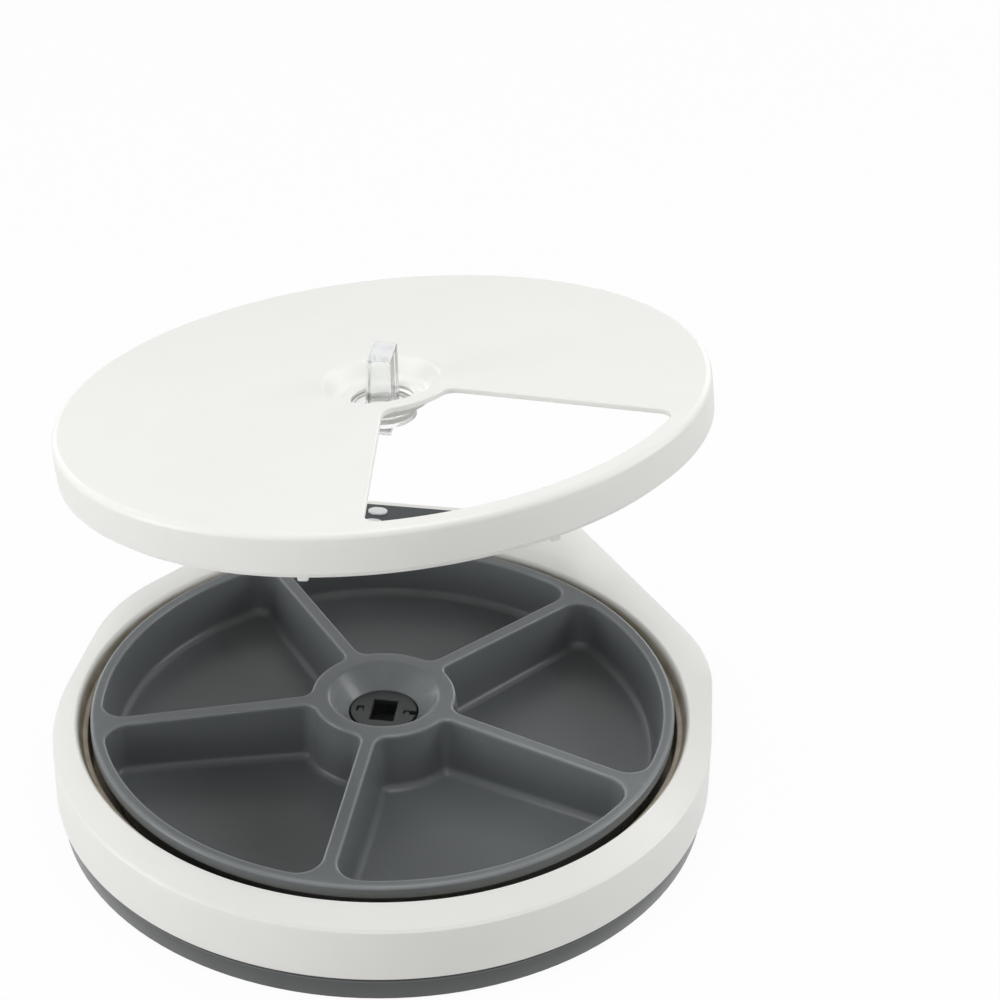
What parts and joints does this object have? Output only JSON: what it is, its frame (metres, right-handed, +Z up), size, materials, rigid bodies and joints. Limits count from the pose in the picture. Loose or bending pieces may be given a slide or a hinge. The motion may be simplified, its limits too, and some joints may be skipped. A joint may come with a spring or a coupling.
{
  "type": "rotating meal feeder",
  "caption": "Round timed feeder: a motor turns a compartment tray under a lid with a wedge window; a clear pull handle locks and lifts the lid, and a rear deck carries the keys.",
  "frame": {"origin": "on the resting plane, at the middle of the base's width and length", "axes": "+Z up, +Y from the round front towards the control deck, +X to the right seen from the front"},
  "size_m": [0.32, 0.36, 0.2485],
  "materials": {
    "white_plastic": "glossy white moulding",
    "tray_plastic": "satin dark grey moulding",
    "bottom_plastic": "satin grey moulding",
    "panel_plastic": "fine matt dark grey moulding",
    "clear_plastic": "clear polished moulding",
    "lens_plastic": "tinted clear window",
    "button_plastic": "glossy white keycap",
    "display": "grey-green display",
    "acetal": "natural acetal",
    "lock_plastic": "dark grey moulding",
    "circuit_laminate": "green board",
    "switch_plastic": "black keyswitch",
    "steel": "bright screw steel",
    "motor_steel": "plated can",
    "cell_wrap": "printed-free dark wrap",
    "rubber": "matt black rubber"
  },
  "bodies": {
    "base": {"lock_plate": "lock_plastic", "centre_post": "lock_plastic", "hub_bush": "acetal", "gear_pin": "steel", "motor": "motor_steel", "motor_screws": "steel", "sensor_board": "circuit_laminate", "tray_glides": "acetal", "base_shell": "white_plastic", "base_plate": "bottom_plastic", "rubber_feet": "rubber", "control_fascia": "panel_plastic", "lcd_lens": "lens_plastic", "lcd_module": "display", "circuit_board": "circuit_laminate", "tact_switches": "switch_plastic", "board_screws": "steel", "battery_box": "bottom_plastic", "battery_cells": "cell_wrap", "battery_contacts": "steel", "battery_door": "bottom_plastic", "door_screw": "steel", "case_screws": "steel", "post_screws": "steel"},
    "tray": {"food_tray": "tray_plastic", "drive_hub": "acetal", "index_magnets": "steel"},
    "reduction": {"reduction_gear": "acetal"},
    "pinion": {"motor_pinion": "acetal"},
    "washer": {"slip_washer": "acetal"},
    "lid": {"lid_shell": "white_plastic"},
    "handle": {"lock_handle": "clear_plastic"},
    "key_1": {"button_1": "button_plastic"},
    "key_2": {"button_2": "button_plastic"},
    "key_3": {"button_3": "button_plastic"},
    "key_4": {"button_4": "button_plastic"}
  },
  "joints": [
    {"name": "tray_turn", "type": "hinge", "parent": "base", "child": "tray", "pos_m": [0, -0.02, 0.02], "axis": [0, 0, 1], "continuous": true},
    {"name": "reduction_turn", "type": "hinge", "parent": "base", "child": "reduction", "pos_m": [0, 0.022, 0.01], "axis": [0, 0, 1], "continuous": true},
    {"name": "pinion_turn", "type": "hinge", "parent": "base", "child": "pinion", "pos_m": [0, 0.047, 0.013], "axis": [0, 0, 1], "continuous": true},
    {"name": "lid_lift", "type": "slide", "parent": "base", "child": "washer", "axis": [0, 0, 1], "range_m": [-0.167, 0]},
    {"name": "lid_tilt", "type": "hinge", "parent": "washer", "child": "lid", "pos_m": [0.05591, -0.06609, 0.22671], "axis": [-0.6361, -0.7716, 0], "range_deg": [-9.3, 0]},
    {"name": "handle_twist", "type": "hinge", "parent": "washer", "child": "handle", "pos_m": [0, -0.02, 0.21], "axis": [0, 0, 1], "range_deg": [0, 90]},
    {"name": "press_button_1", "type": "slide", "parent": "base", "child": "key_1", "axis": [0, -0.1742, -0.9847], "range_m": [0, 0.0008], "stiffness_N_per_m": 600},
    {"name": "press_button_2", "type": "slide", "parent": "base", "child": "key_2", "axis": [0, -0.1742, -0.9847], "range_m": [0, 0.0008], "stiffness_N_per_m": 600},
    {"name": "press_button_3", "type": "slide", "parent": "base", "child": "key_3", "axis": [0, -0.1742, -0.9847], "range_m": [0, 0.0008], "stiffness_N_per_m": 600},
    {"name": "press_button_4", "type": "slide", "parent": "base", "child": "key_4", "axis": [0, -0.1742, -0.9847], "range_m": [0, 0.0008], "stiffness_N_per_m": 600}
  ],
  "couplings": [
    {"joint": "reduction_turn", "follows": "tray_turn", "ratio": -6},
    {"joint": "pinion_turn", "follows": "tray_turn", "ratio": 24},
    {"joint": "lid_tilt", "follows": "lid_lift", "rad_per_m": 0.97194}
  ]
}
